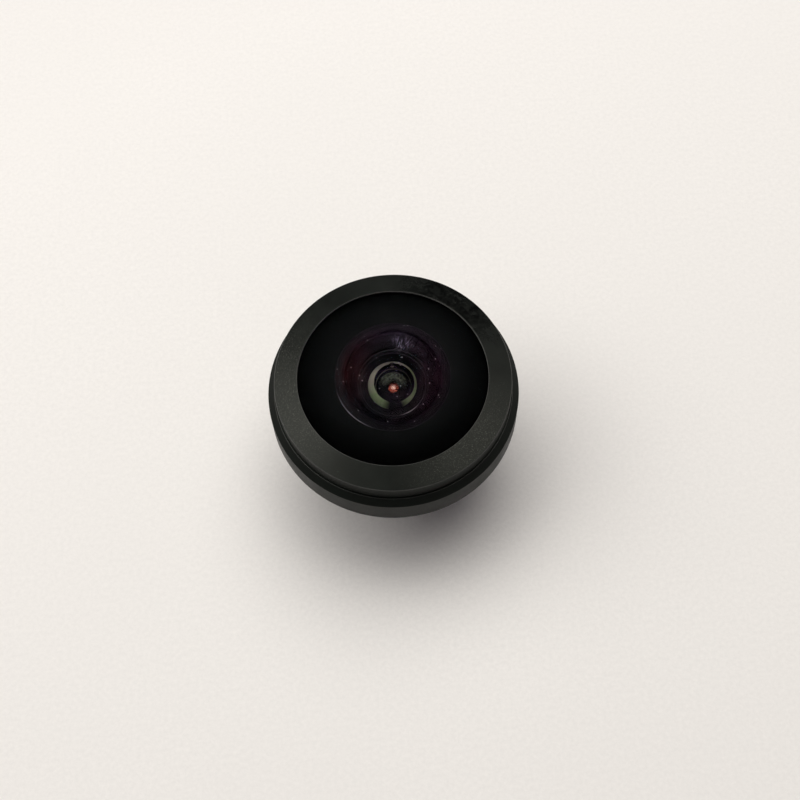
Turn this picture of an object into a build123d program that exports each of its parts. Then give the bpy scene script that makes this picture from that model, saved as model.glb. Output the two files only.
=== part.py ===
from build123d import *
from math import radians, sqrt, tan
import os

# A small screw-in wide-angle camera lens: a domed front glass in a wide black head,
# and a threaded barrel behind it. The optical axis is +Z, towards the front, and
# the origin is the centre of the rear rim. Lengths are in millimetres.

# Head of the main barrel, around the front ring
HEAD_SHOULDER_STEP = 0.13
HEAD_TOP_CHAMFER = 0.57
HEAD_WALL_HEIGHT = 2.78
HEAD_FOOT_CHAMFER = 0.18

# Threaded barrel behind the head
THREAD_RADIUS = 6.0
THREAD_PITCH = 0.5
THREAD_DEPTH = 0.307
THREAD_FLANK_ANGLE = 30.0
THREAD_CREST_SHARE = 8
THREAD_LEAD_IN = 0.4
THREAD_RUN_OUT = 0.95
NOSE_STEP = 0.09
NOSE_LENGTH = 0.55
NOSE_CHAMFER = 0.15
NECK_STEP = 0.14
NECK_LENGTH = 1.35

# Front ring that holds the dome glass, and the collar that it screws on
FRONT_RING_WALL = 0.77
FRONT_RING_HEIGHT = 1.55
FRONT_RING_EDGE = 0.07
FRONT_FACE_ANGLE = 16.4
FRONT_LIP_OVERLAP = 0.45
FRONT_LIP_THICKNESS = 0.17
COLLAR_WALL = 0.75
COLLAR_HEADROOM = 0.2
RING_SEAM = 0.05

# Front element: a steep meniscus, domed in front, with a deep bowl behind
DOME_GLASS_RADIUS = 8.7
DOME_SPHERE = 12.0
DOME_EDGE = 1.05
DOME_BOWL_RADIUS = 4.2
DOME_BOWL_FLARE = 0.2

# Seal under the front element
SEAL_SECTION = 0.58
SEAL_GROOVE_WIDTH = 0.85
SEAL_SQUEEZE_ROOM = 0.02

# Inner retaining ring, screwed down on the second element
INNER_RING_RADIUS = 6.3
INNER_RING_HEIGHT = 0.45
INNER_RING_TOP_GAP = 0.05

# Second element: a smaller meniscus
SECOND_GLASS_RADIUS = 5.2
SECOND_FRONT_SPHERE = 13.0
SECOND_FRONT_RADIUS = 3.9
SECOND_EDGE = 2.47
SECOND_BOWL_RADIUS = 3.1
SECOND_BOWL_FLARE = 0.2

# Third element: a thick positive lens
THIRD_FRONT_SPHERE = 6.0
THIRD_FRONT_RADIUS = 2.8
THIRD_EDGE = 1.38
THIRD_REAR_SPHERE = 9.0
THIRD_REAR_RADIUS = 2.4

# Fourth element: biconvex
FOURTH_FRONT_SPHERE = 5.5
FOURTH_FRONT_RADIUS = 1.8
FOURTH_EDGE = 0.79
FOURTH_REAR_SPHERE = 4.2
FOURTH_REAR_RADIUS = 1.8

# Fifth and sixth elements: a cemented pair
FIFTH_FRONT_SPHERE = 6.0
FIFTH_FRONT_RADIUS = 1.8
FIFTH_EDGE = 2.0
CEMENT_SPHERE = 3.8
CEMENT_RADIUS = 2.7
SIXTH_EDGE = 0.65
SIXTH_REAR_SPHERE = 7.0
SIXTH_RIM_WIDTH = 0.3

# Elements three to five share one bore and one outside radius
STACK_RADIUS = 4.25
LENS_BEVEL = 0.1

# Rings and thin black washers between the elements
SHIELD_THICKNESS = 0.08
SHIELD_OVERLAP = 0.15
FRONT_SPACER_HEIGHT = 0.6
MIDDLE_SPACER_HEIGHT = 0.6
STOP_THICKNESS = 0.1
STOP_RADIUS = 0.85
STOP_SPACER_HEIGHT = 0.55
REAR_SPACER_HEIGHT = 1.1
DOUBLET_SPACER_HEIGHT = 1.25
SPACER_CLEAR = 0.2

# Rear lip, infrared filter and rear retaining ring
REAR_LIP_THICKNESS = 0.7
REAR_LIP_RADIUS = 3.0
REAR_RECESS_RADIUS = 4.6
REAR_RING_HEIGHT = 0.7
REAR_RING_WALL = 1.1
REAR_RIM_INSET = 0.584
FILTER_THICKNESS = 0.3
FILTER_EDGE_GAP = 0.3
SPANNER_SLOT_WIDTH = 0.8
SPANNER_SLOT_DEPTH = 0.3

# Lock ring and its washer on the thread
LOCK_RING_WALL = 1.97
LOCK_RING_HEIGHT = 2.0
LOCK_RING_CHAMFER = 0.3
LOCK_RING_GAP = 0.4
LOCK_WASHER_WIDTH = 1.25
LOCK_WASHER_THICKNESS = 0.3
LOCK_WASHER_GAP = 0.02
KNURL_COUNT = 48
KNURL_DEPTH = 0.18
KNURL_TILT = 45.0

# Clearances
GLASS_FIT = 0.05
SCREW_FIT = 0.03
LOCK_FIT = 0.03
WASHER_FIT = 0.15
DOME_LIP_FIT = 0.02
CUT_OVERRUN = 0.05


def sag(sphere, radius):
    """Height that a spherical surface falls between its apex and this radius."""
    return sphere - sqrt(sphere**2 - radius**2)


def falling_arc(apex, sphere, radius):
    """Three points of a surface that falls away from its apex."""
    middle = radius / 2
    return (0, apex), (middle, apex - sag(sphere, middle)), (radius, apex - sag(sphere, radius))


def rising_arc(apex, sphere, radius):
    """Three points of a surface that rises away from its apex."""
    middle = radius / 2
    return (0, apex), (middle, apex + sag(sphere, middle)), (radius, apex + sag(sphere, radius))


def lens_outline(front, rear, edge_radius):
    """Half section of a lens with flat rims outside its two polished faces."""
    ThreePointArc(*front)
    front_edge = front[-1]
    rear_edge = rear[-1]
    Polyline(
        front_edge,
        (edge_radius - LENS_BEVEL, front_edge[1]),
        (edge_radius, front_edge[1] - LENS_BEVEL),
        (edge_radius, rear_edge[1] + LENS_BEVEL),
        (edge_radius - LENS_BEVEL, rear_edge[1]),
        rear_edge,
    )
    ThreePointArc(*rear)
    Line(rear[0], front[0])


def ring_face(inner_radius, outer_radius, height):
    """The flat face of a ring or washer about the axis, at this height."""
    with BuildSketch(Plane.XY.offset(height)) as face:
        Circle(outer_radius)
        Circle(inner_radius, mode=Mode.SUBTRACT)
    return face.sketch


def slot_face(reach, height):
    """The outline of a spanner slot across a ring's face, at this height."""
    with BuildSketch(Plane.XY.offset(height)) as face:
        Rectangle(2 * reach, SPANNER_SLOT_WIDTH)
    return face.sketch


# Radii of the head, from the dome glass outwards
dome_bore = DOME_GLASS_RADIUS + GLASS_FIT
collar_radius = dome_bore + COLLAR_WALL
front_ring_bore = collar_radius + SCREW_FIT
front_ring_radius = front_ring_bore + FRONT_RING_WALL
head_shoulder_radius = front_ring_radius + HEAD_SHOULDER_STEP
head_radius = head_shoulder_radius + HEAD_TOP_CHAMFER
opening_radius = DOME_GLASS_RADIUS - FRONT_LIP_OVERLAP

# Radii of the threaded barrel
thread_root_radius = THREAD_RADIUS - THREAD_DEPTH
nose_radius = thread_root_radius - NOSE_STEP
neck_radius = thread_root_radius - NECK_STEP

# The stack of elements and rings, measured down from the seat of the dome glass
inner_ring_depth = INNER_RING_TOP_GAP + INNER_RING_HEIGHT
second_depth = inner_ring_depth + SECOND_EDGE + SHIELD_THICKNESS
third_depth = second_depth + FRONT_SPACER_HEIGHT + THIRD_EDGE + SHIELD_THICKNESS
stop_depth = third_depth + MIDDLE_SPACER_HEIGHT + STOP_THICKNESS
fourth_depth = stop_depth + STOP_SPACER_HEIGHT + FOURTH_EDGE
fifth_depth = fourth_depth + REAR_SPACER_HEIGHT + FIFTH_EDGE
rear_lip_depth = fifth_depth + DOUBLET_SPACER_HEIGHT + REAR_LIP_THICKNESS
filter_depth = rear_lip_depth + SHIELD_THICKNESS + FILTER_THICKNESS
rear_rim_depth = filter_depth + REAR_RING_HEIGHT + REAR_RIM_INSET

# The dome glass's seat stands this far above the foot of the head
face_rise = (front_ring_radius - opening_radius) * tan(radians(FRONT_FACE_ANGLE))
head_rise = HEAD_WALL_HEIGHT + HEAD_TOP_CHAMFER
opening_rise = head_rise + RING_SEAM + FRONT_RING_HEIGHT + face_rise
dome_rim_fall = sag(DOME_SPHERE, DOME_GLASS_RADIUS) - sag(DOME_SPHERE, opening_radius)
lip_fall = FRONT_LIP_THICKNESS + DOME_LIP_FIT
seat_rise = opening_rise - lip_fall - dome_rim_fall - DOME_EDGE

# Heights of the head and the front ring above the rear rim
dome_seat = rear_rim_depth
head_foot = dome_seat - seat_rise
head_wall_top = head_foot + HEAD_WALL_HEIGHT
head_shoulder = head_wall_top + HEAD_TOP_CHAMFER
front_ring_foot = head_shoulder + RING_SEAM
front_ring_wall_top = front_ring_foot + FRONT_RING_HEIGHT
opening_height = front_ring_wall_top + face_rise

# Heights of the front element
dome_bowl_sphere = DOME_BOWL_RADIUS + DOME_BOWL_FLARE
dome_edge_top = dome_seat + DOME_EDGE
dome_apex = dome_edge_top + sag(DOME_SPHERE, DOME_GLASS_RADIUS)
dome_at_opening = dome_edge_top + dome_rim_fall
dome_bowl_apex = dome_seat + sag(dome_bowl_sphere, DOME_BOWL_RADIUS)

# Heights of the second element, under the inner retaining ring
second_bowl_sphere = SECOND_BOWL_RADIUS + SECOND_BOWL_FLARE
inner_ring_top = dome_seat - INNER_RING_TOP_GAP
second_front = dome_seat - inner_ring_depth
second_seat = second_front - SECOND_EDGE
second_apex = second_front + sag(SECOND_FRONT_SPHERE, SECOND_FRONT_RADIUS)
second_bowl_apex = second_seat + sag(second_bowl_sphere, SECOND_BOWL_RADIUS)

# Heights of the stack, from the second element down to the rear lip
stack_top = dome_seat - second_depth
third_front = stack_top - FRONT_SPACER_HEIGHT
third_seat = third_front - THIRD_EDGE
third_apex = third_front + sag(THIRD_FRONT_SPHERE, THIRD_FRONT_RADIUS)
third_rear_apex = third_seat - sag(THIRD_REAR_SPHERE, THIRD_REAR_RADIUS)
middle_spacer_top = dome_seat - third_depth
stop_top = middle_spacer_top - MIDDLE_SPACER_HEIGHT
stop_foot = dome_seat - stop_depth
fourth_front = stop_foot - STOP_SPACER_HEIGHT
fourth_seat = dome_seat - fourth_depth
fourth_apex = fourth_front + sag(FOURTH_FRONT_SPHERE, FOURTH_FRONT_RADIUS)
fourth_rear_apex = fourth_seat - sag(FOURTH_REAR_SPHERE, FOURTH_REAR_RADIUS)
fifth_front = fourth_seat - REAR_SPACER_HEIGHT
fifth_seat = dome_seat - fifth_depth
fifth_apex = fifth_front - sag(FIFTH_FRONT_SPHERE, FIFTH_FRONT_RADIUS)
cement_apex = fifth_seat + sag(CEMENT_SPHERE, CEMENT_RADIUS)
sixth_rim = fifth_seat - SIXTH_EDGE
sixth_rear_radius = CEMENT_RADIUS - SIXTH_RIM_WIDTH
sixth_rear_apex = sixth_rim - sag(SIXTH_REAR_SPHERE, sixth_rear_radius)
rear_lip_foot = dome_seat - rear_lip_depth
rear_lip_top = rear_lip_foot + REAR_LIP_THICKNESS

# The filter and its ring, under the rear lip
filter_radius = REAR_RECESS_RADIUS - FILTER_EDGE_GAP
filter_top = rear_lip_foot - SHIELD_THICKNESS
filter_foot = dome_seat - filter_depth
rear_ring_foot = filter_foot - REAR_RING_HEIGHT

# Other bores of the main barrel
second_bore = SECOND_GLASS_RADIUS + GLASS_FIT
stack_bore = STACK_RADIUS + GLASS_FIT
inner_ring_bore = INNER_RING_RADIUS + SCREW_FIT
seal_groove_inside = dome_bore - SEAL_GROOVE_WIDTH
seal_groove_floor = dome_seat - SEAL_SECTION - SEAL_SQUEEZE_ROOM

# Underside of the front ring's lip follows the dome glass
lip_inside = dome_at_opening + DOME_LIP_FIT
lip_outside = dome_edge_top + DOME_LIP_FIT
collar_top = lip_outside - COLLAR_HEADROOM

# The thread stops at the neck, and the lock ring parks there, below the head
lock_ring_bore = THREAD_RADIUS + LOCK_FIT
lock_ring_radius = lock_ring_bore + LOCK_RING_WALL
lock_washer_bore = THREAD_RADIUS + WASHER_FIT
lock_washer_radius = lock_washer_bore + LOCK_WASHER_WIDTH
neck_foot = head_foot - NECK_LENGTH
lock_ring_foot = head_foot - LOCK_RING_GAP - LOCK_RING_HEIGHT
lock_washer_foot = lock_ring_foot - LOCK_WASHER_GAP - LOCK_WASHER_THICKNESS

os.makedirs("parts", exist_ok=True)

# Section of one thread groove, cut from the barrel at each turn of the pitch. The
# last turns run out under the lock ring, where the crests slope down to the neck.
flank_slope = tan(radians(THREAD_FLANK_ANGLE))
crest_half_gap = (THREAD_PITCH - THREAD_PITCH / THREAD_CREST_SHARE) / 2
mouth_half_gap = crest_half_gap + CUT_OVERRUN * flank_slope
root_half_gap = crest_half_gap - THREAD_DEPTH * flank_slope
thread_foot = NOSE_LENGTH + THREAD_LEAD_IN
thread_top = neck_foot - (THREAD_RADIUS - neck_radius)
full_thread_top = thread_top - THREAD_RUN_OUT
thread_middle = (thread_foot + thread_top) / 2
thread_grooves = int((thread_top - thread_foot) / THREAD_PITCH)

# Main barrel: head, neck and threaded tube turned from one bar
with BuildPart() as main_barrel:
    with BuildSketch(Plane.XZ):
        with BuildLine():
            Polyline(
                (REAR_RECESS_RADIUS, 0),
                (nose_radius - NOSE_CHAMFER, 0),
                (nose_radius, NOSE_CHAMFER),
                (nose_radius, NOSE_LENGTH),
                (THREAD_RADIUS, thread_foot),
                (THREAD_RADIUS, full_thread_top),
                (neck_radius, neck_foot),
                (neck_radius, head_foot),
                (head_radius - HEAD_FOOT_CHAMFER, head_foot),
                (head_radius, head_foot + HEAD_FOOT_CHAMFER),
                (head_radius, head_wall_top),
                (head_shoulder_radius, head_shoulder),
                (collar_radius, head_shoulder),
                (collar_radius, collar_top),
                (dome_bore, collar_top),
                (dome_bore, seal_groove_floor),
                (seal_groove_inside, seal_groove_floor),
                (seal_groove_inside, dome_seat),
                (inner_ring_bore, dome_seat),
                (inner_ring_bore, second_front),
                (second_bore, second_front),
                (second_bore, stack_top),
                (stack_bore, stack_top),
                (stack_bore, rear_lip_top),
                (REAR_LIP_RADIUS, rear_lip_top),
                (REAR_LIP_RADIUS, rear_lip_foot),
                (REAR_RECESS_RADIUS, rear_lip_foot),
                close=True,
            )
        make_face()
        with Locations((THREAD_RADIUS, thread_middle)):
            with GridLocations(THREAD_PITCH, THREAD_PITCH, 1, thread_grooves):
                Polygon(
                    (CUT_OVERRUN, -mouth_half_gap),
                    (CUT_OVERRUN, mouth_half_gap),
                    (-THREAD_DEPTH, root_half_gap),
                    (-THREAD_DEPTH, -root_half_gap),
                    align=None,
                    mode=Mode.SUBTRACT,
                )
    revolve(axis=Axis.Z)
main_barrel.part.label = "main_barrel"
export_step(main_barrel.part, "parts/main_barrel.step")

# Front ring: screws over the head's collar and holds the dome glass by a sloping lip
with BuildPart() as front_ring:
    with BuildSketch(Plane.XZ):
        with BuildLine():
            Polyline(
                (front_ring_bore, front_ring_foot),
                (front_ring_radius - FRONT_RING_EDGE, front_ring_foot),
                (front_ring_radius, front_ring_foot + FRONT_RING_EDGE),
                (front_ring_radius, front_ring_wall_top - FRONT_RING_EDGE),
                (front_ring_radius - FRONT_RING_EDGE, front_ring_wall_top),
                (opening_radius, opening_height),
                (opening_radius, lip_inside),
                (DOME_GLASS_RADIUS, lip_outside),
                (front_ring_bore, lip_outside),
                close=True,
            )
        make_face()
    revolve(axis=Axis.Z)
front_ring.part.label = "front_ring"
export_step(front_ring.part, "parts/front_ring.step")

# Front element
with BuildPart() as front_element:
    with BuildSketch(Plane.XZ):
        with BuildLine():
            ThreePointArc(*falling_arc(dome_apex, DOME_SPHERE, DOME_GLASS_RADIUS))
            Polyline(
                (DOME_GLASS_RADIUS, dome_edge_top),
                (DOME_GLASS_RADIUS, dome_seat + LENS_BEVEL),
                (DOME_GLASS_RADIUS - LENS_BEVEL, dome_seat),
                (DOME_BOWL_RADIUS, dome_seat),
            )
            ThreePointArc(*falling_arc(dome_bowl_apex, dome_bowl_sphere, DOME_BOWL_RADIUS))
            Line((0, dome_bowl_apex), (0, dome_apex))
        make_face()
    revolve(axis=Axis.Z)
front_element.part.label = "front_element"
export_step(front_element.part, "parts/front_element.step")

# Rubber seal in its groove under the front element
seal_centre_radius = (seal_groove_inside + dome_bore) / 2
seal_centre_height = seal_groove_floor + SEAL_SQUEEZE_ROOM / 2 + SEAL_SECTION / 2
with BuildPart() as front_seal:
    with BuildSketch(Plane.XZ):
        with Locations((seal_centre_radius, seal_centre_height)):
            Circle(SEAL_SECTION / 2)
    revolve(axis=Axis.Z)
front_seal.part.label = "front_seal"
export_step(front_seal.part, "parts/front_seal.step")

# Inner retaining ring
with BuildPart() as inner_retaining_ring:
    face = ring_face(DOME_BOWL_RADIUS + GLASS_FIT, INNER_RING_RADIUS, second_front)
    extrude(face, amount=INNER_RING_HEIGHT)
    slot = slot_face(INNER_RING_RADIUS + CUT_OVERRUN, inner_ring_top - SPANNER_SLOT_DEPTH)
    extrude(slot, amount=SPANNER_SLOT_DEPTH, mode=Mode.SUBTRACT)
inner_retaining_ring.part.label = "inner_retaining_ring"
export_step(inner_retaining_ring.part, "parts/inner_retaining_ring.step")

# Second element
with BuildPart() as second_element:
    with BuildSketch(Plane.XZ):
        with BuildLine():
            lens_outline(
                falling_arc(second_apex, SECOND_FRONT_SPHERE, SECOND_FRONT_RADIUS),
                falling_arc(second_bowl_apex, second_bowl_sphere, SECOND_BOWL_RADIUS),
                SECOND_GLASS_RADIUS,
            )
        make_face()
    revolve(axis=Axis.Z)
second_element.part.label = "second_element"
export_step(second_element.part, "parts/second_element.step")

# Thin black washer between the second element and the ledge under it
with BuildPart() as second_element_shield:
    face = ring_face(SECOND_BOWL_RADIUS - SHIELD_OVERLAP, SECOND_GLASS_RADIUS - LENS_BEVEL, stack_top)
    extrude(face, amount=SHIELD_THICKNESS)
second_element_shield.part.label = "second_element_shield"
export_step(second_element_shield.part, "parts/second_element_shield.step")

# Spacer between the second and third elements
with BuildPart() as front_spacer:
    face = ring_face(THIRD_FRONT_RADIUS + SPACER_CLEAR, STACK_RADIUS, third_front)
    extrude(face, amount=FRONT_SPACER_HEIGHT)
front_spacer.part.label = "front_spacer"
export_step(front_spacer.part, "parts/front_spacer.step")

# Third element
with BuildPart() as third_element:
    with BuildSketch(Plane.XZ):
        with BuildLine():
            lens_outline(
                falling_arc(third_apex, THIRD_FRONT_SPHERE, THIRD_FRONT_RADIUS),
                rising_arc(third_rear_apex, THIRD_REAR_SPHERE, THIRD_REAR_RADIUS),
                STACK_RADIUS,
            )
        make_face()
    revolve(axis=Axis.Z)
third_element.part.label = "third_element"
export_step(third_element.part, "parts/third_element.step")

# Thin black washer behind the third element
with BuildPart() as third_element_shield:
    face = ring_face(THIRD_REAR_RADIUS + SHIELD_OVERLAP, STACK_RADIUS - LENS_BEVEL, middle_spacer_top)
    extrude(face, amount=SHIELD_THICKNESS)
third_element_shield.part.label = "third_element_shield"
export_step(third_element_shield.part, "parts/third_element_shield.step")

# Spacer in front of the aperture stop
with BuildPart() as middle_spacer:
    face = ring_face(THIRD_REAR_RADIUS + SPACER_CLEAR, STACK_RADIUS, stop_top)
    extrude(face, amount=MIDDLE_SPACER_HEIGHT)
middle_spacer.part.label = "middle_spacer"
export_step(middle_spacer.part, "parts/middle_spacer.step")

# Aperture stop: a thin disc with the lens's fixed pupil
with BuildPart() as aperture_stop:
    extrude(ring_face(STOP_RADIUS, STACK_RADIUS, stop_foot), amount=STOP_THICKNESS)
aperture_stop.part.label = "aperture_stop"
export_step(aperture_stop.part, "parts/aperture_stop.step")

# Spacer behind the aperture stop
with BuildPart() as stop_spacer:
    face = ring_face(FOURTH_FRONT_RADIUS + SPACER_CLEAR, STACK_RADIUS, fourth_front)
    extrude(face, amount=STOP_SPACER_HEIGHT)
stop_spacer.part.label = "stop_spacer"
export_step(stop_spacer.part, "parts/stop_spacer.step")

# Fourth element
with BuildPart() as fourth_element:
    with BuildSketch(Plane.XZ):
        with BuildLine():
            lens_outline(
                falling_arc(fourth_apex, FOURTH_FRONT_SPHERE, FOURTH_FRONT_RADIUS),
                rising_arc(fourth_rear_apex, FOURTH_REAR_SPHERE, FOURTH_REAR_RADIUS),
                STACK_RADIUS,
            )
        make_face()
    revolve(axis=Axis.Z)
fourth_element.part.label = "fourth_element"
export_step(fourth_element.part, "parts/fourth_element.step")

# Spacer between the fourth element and the cemented pair
with BuildPart() as rear_spacer:
    face = ring_face(FOURTH_REAR_RADIUS + SPACER_CLEAR, STACK_RADIUS, fifth_front)
    extrude(face, amount=REAR_SPACER_HEIGHT)
rear_spacer.part.label = "rear_spacer"
export_step(rear_spacer.part, "parts/rear_spacer.step")

# Fifth element: the hollow front half of the cemented pair
with BuildPart() as fifth_element:
    with BuildSketch(Plane.XZ):
        with BuildLine():
            lens_outline(
                rising_arc(fifth_apex, FIFTH_FRONT_SPHERE, FIFTH_FRONT_RADIUS),
                falling_arc(cement_apex, CEMENT_SPHERE, CEMENT_RADIUS),
                STACK_RADIUS,
            )
        make_face()
    revolve(axis=Axis.Z)
fifth_element.part.label = "fifth_element"
export_step(fifth_element.part, "parts/fifth_element.step")

# Sixth element: the full rear half of the cemented pair, its rim inside the spacer
sixth_rear = rising_arc(sixth_rear_apex, SIXTH_REAR_SPHERE, sixth_rear_radius)
with BuildPart() as sixth_element:
    with BuildSketch(Plane.XZ):
        with BuildLine():
            ThreePointArc(*falling_arc(cement_apex, CEMENT_SPHERE, CEMENT_RADIUS))
            Polyline(
                (CEMENT_RADIUS, fifth_seat),
                (CEMENT_RADIUS, sixth_rim + LENS_BEVEL),
                (CEMENT_RADIUS - LENS_BEVEL, sixth_rim),
                sixth_rear[-1],
            )
            ThreePointArc(*sixth_rear)
            Line((0, sixth_rear_apex), (0, cement_apex))
        make_face()
    revolve(axis=Axis.Z)
sixth_element.part.label = "sixth_element"
export_step(sixth_element.part, "parts/sixth_element.step")

# Spacer between the cemented pair and the rear lip
with BuildPart() as doublet_spacer:
    face = ring_face(CEMENT_RADIUS + SPACER_CLEAR, STACK_RADIUS, rear_lip_top)
    extrude(face, amount=DOUBLET_SPACER_HEIGHT)
doublet_spacer.part.label = "doublet_spacer"
export_step(doublet_spacer.part, "parts/doublet_spacer.step")

# Thin gasket between the rear lip and the infrared filter
with BuildPart() as filter_gasket:
    face = ring_face(REAR_LIP_RADIUS + SHIELD_OVERLAP, filter_radius, filter_top)
    extrude(face, amount=SHIELD_THICKNESS)
filter_gasket.part.label = "filter_gasket"
export_step(filter_gasket.part, "parts/filter_gasket.step")

# Infrared-cut filter: a plane disc of coated glass
with BuildPart() as infrared_filter:
    with BuildSketch(Plane.XY.offset(filter_foot)):
        Circle(filter_radius)
    extrude(amount=FILTER_THICKNESS)
infrared_filter.part.label = "infrared_filter"
export_step(infrared_filter.part, "parts/infrared_filter.step")

# Rear retaining ring, screwed in behind the filter
rear_ring_outside = REAR_RECESS_RADIUS - SCREW_FIT
with BuildPart() as rear_retaining_ring:
    face = ring_face(rear_ring_outside - REAR_RING_WALL, rear_ring_outside, rear_ring_foot)
    extrude(face, amount=REAR_RING_HEIGHT)
    slot = slot_face(rear_ring_outside + CUT_OVERRUN, rear_ring_foot)
    extrude(slot, amount=SPANNER_SLOT_DEPTH, mode=Mode.SUBTRACT)
rear_retaining_ring.part.label = "rear_retaining_ring"
export_step(rear_retaining_ring.part, "parts/rear_retaining_ring.step")

# Lock washer: slides along the thread with the lock ring but doesn't turn
with BuildPart() as lock_washer:
    face = ring_face(lock_washer_bore, lock_washer_radius, lock_washer_foot)
    extrude(face, amount=LOCK_WASHER_THICKNESS)
lock_washer.part.label = "lock_washer"
export_step(lock_washer.part, "parts/lock_washer.step")

# Lock ring: a knurled nut on the barrel's thread
lock_ring_top = lock_ring_foot + LOCK_RING_HEIGHT
knurl_cutter = KNURL_DEPTH * sqrt(2)
with BuildPart() as lock_ring:
    with BuildSketch(Plane.XZ):
        with BuildLine():
            Polyline(
                (lock_ring_bore + LOCK_RING_CHAMFER, lock_ring_foot),
                (lock_ring_radius - LOCK_RING_CHAMFER, lock_ring_foot),
                (lock_ring_radius, lock_ring_foot + LOCK_RING_CHAMFER),
                (lock_ring_radius, lock_ring_top - LOCK_RING_CHAMFER),
                (lock_ring_radius - LOCK_RING_CHAMFER, lock_ring_top),
                (lock_ring_bore + LOCK_RING_CHAMFER, lock_ring_top),
                (lock_ring_bore, lock_ring_top - LOCK_RING_CHAMFER),
                (lock_ring_bore, lock_ring_foot + LOCK_RING_CHAMFER),
                close=True,
            )
        make_face()
    revolve(axis=Axis.Z)
    with BuildSketch(Plane.XY.offset(lock_ring_foot)):
        with PolarLocations(lock_ring_radius, KNURL_COUNT):
            Rectangle(knurl_cutter, knurl_cutter, rotation=KNURL_TILT)
    extrude(amount=LOCK_RING_HEIGHT, mode=Mode.SUBTRACT)
lock_ring.part.label = "lock_ring"
export_step(lock_ring.part, "parts/lock_ring.step")

print(f"overall height {dome_apex:.3f} mm, head width {2 * head_radius:.3f} mm")
print(f"head foot {head_foot:.3f} mm, ring seat {front_ring_foot:.3f} to {front_ring_wall_top:.3f} mm")
print(f"thread {thread_foot:.3f} to {thread_top:.3f} mm, lock washer from {lock_washer_foot:.3f} mm")
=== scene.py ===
import bmesh
import bpy
import math
from bpy.props import FloatProperty, FloatVectorProperty, IntProperty, PointerProperty
from collections import namedtuple
from mathutils import Matrix, Vector


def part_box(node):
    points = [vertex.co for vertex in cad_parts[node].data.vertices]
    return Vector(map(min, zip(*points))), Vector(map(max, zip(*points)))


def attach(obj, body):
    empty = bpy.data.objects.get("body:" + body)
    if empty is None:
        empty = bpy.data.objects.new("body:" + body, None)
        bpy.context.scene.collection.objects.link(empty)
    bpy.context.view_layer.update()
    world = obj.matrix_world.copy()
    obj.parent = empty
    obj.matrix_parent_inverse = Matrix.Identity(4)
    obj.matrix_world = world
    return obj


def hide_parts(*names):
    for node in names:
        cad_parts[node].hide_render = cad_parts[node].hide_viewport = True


bl_info = {
    "name": "Board Lens",
    "version": (1, 0, 0),
    "blender": (4, 5, 0),
    "location": "3D View > Sidebar > Board Lens",
    "description": "Builds a small wide-angle lens with a domed front glass, its finishes and a plain stage",
    "category": "Add Mesh",
}

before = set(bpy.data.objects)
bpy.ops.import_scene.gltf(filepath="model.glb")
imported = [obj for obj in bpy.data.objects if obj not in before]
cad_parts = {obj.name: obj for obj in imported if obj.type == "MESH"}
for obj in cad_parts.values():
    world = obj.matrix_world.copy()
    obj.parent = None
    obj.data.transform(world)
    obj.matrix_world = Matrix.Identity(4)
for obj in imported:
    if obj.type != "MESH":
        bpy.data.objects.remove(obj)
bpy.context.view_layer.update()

MM = 0.001

Round = namedtuple("Round", "radius least foot top")


def round_node(node):
    """Outer radius of a round CAD node, the least that its facets reach, and its lowest and highest point."""
    low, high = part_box(node)
    return Round(max(high.x, high.y), min(high.x, high.y, -low.x, -low.y), low.z, high.z)


barrel = round_node("main_barrel")
front_ring = round_node("front_ring")
dome = round_node("front_element")
lock_ring = round_node("lock_ring")
washer = round_node("lock_washer")

# Steps of the barrel, from the rear rim to the head. A seat lies a hair under the piece that rests on it.
NOSE_RADIUS = 5.603 * MM
NOSE_CHAMFER = 0.15 * MM
NOSE_TOP = 0.55 * MM
RUN_OUT_FOOT = 7.2529 * MM
RUN_OUT_TOP = 8.2129 * MM
RUN_OUT_SLOPE = 0.32
NECK_RADIUS = 5.553 * MM
NECK_FOOT = 8.65 * MM
HEAD_FOOT_CHAMFER = 0.18 * MM
COLLAR_TOP = 14.734 * MM
SEAT_HAIR = 0.004 * MM

# Bores of the barrel, from the front to the rear
GLASS_BORE = 8.75 * MM
SEAL_GROOVE = 7.9 * MM
SEAL_GROOVE_FLOOR = 13.264 * MM
INNER_RING_BORE = 6.33 * MM
SECOND_BORE = 5.25 * MM
STACK_BORE = 4.3 * MM
REAR_LIP_BORE = 3.0 * MM
RECESS_BORE = 4.6 * MM

# The helical ridge starts and ends inside the tube, with its root a little under the tube's surface
RIDGE_FOOT = 0.62 * MM
RIDGE_TOP = 8.22 * MM
RIDGE_SINK = 0.01 * MM
FLANK_ANGLE = math.radians(30.0)

# Front ring and its lip, which overlaps the rim of the glass
RING_BORE = 9.53 * MM
RING_EDGE = 0.07 * MM
LIP_FOOT = 14.934 * MM
LIP_INSIDE = 15.3832 * MM

# Bevels of the glass in millimetres, the refraction of its three kinds, and a coating that mirrors little
RIM_BEVEL, GROUND_BEVEL, BOWL_BEVEL = 0.1, 0.12, 0.05
DENSE_GLASS, MIDDLE_GLASS, LIGHT_GLASS = 1.77, 1.65, 1.52
WEAK_MIRROR = (0.012, 0.014, 0.014)

# Elements in millimetres: rim radius, heights of the front and the rear edge, then the sphere and the edge
# radius of each face
ELEMENTS = {
    "second_element": (5.2, 13.364, 10.894, (13.0, 3.9), (3.3, 3.1)),
    "third_element": (4.25, 10.214, 8.834, (6.0, 2.8), (-9.0, 2.4)),
    "fourth_element": (4.25, 7.504, 6.714, (5.5, 1.8), (-4.2, 1.8)),
    "fifth_element": (4.25, 5.614, 3.614, (-6.0, 1.8), (3.8, 2.7)),
    "sixth_element": (2.7, 3.614, 2.964, (3.8, 2.7), (-7.0, 2.4)),
}

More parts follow.
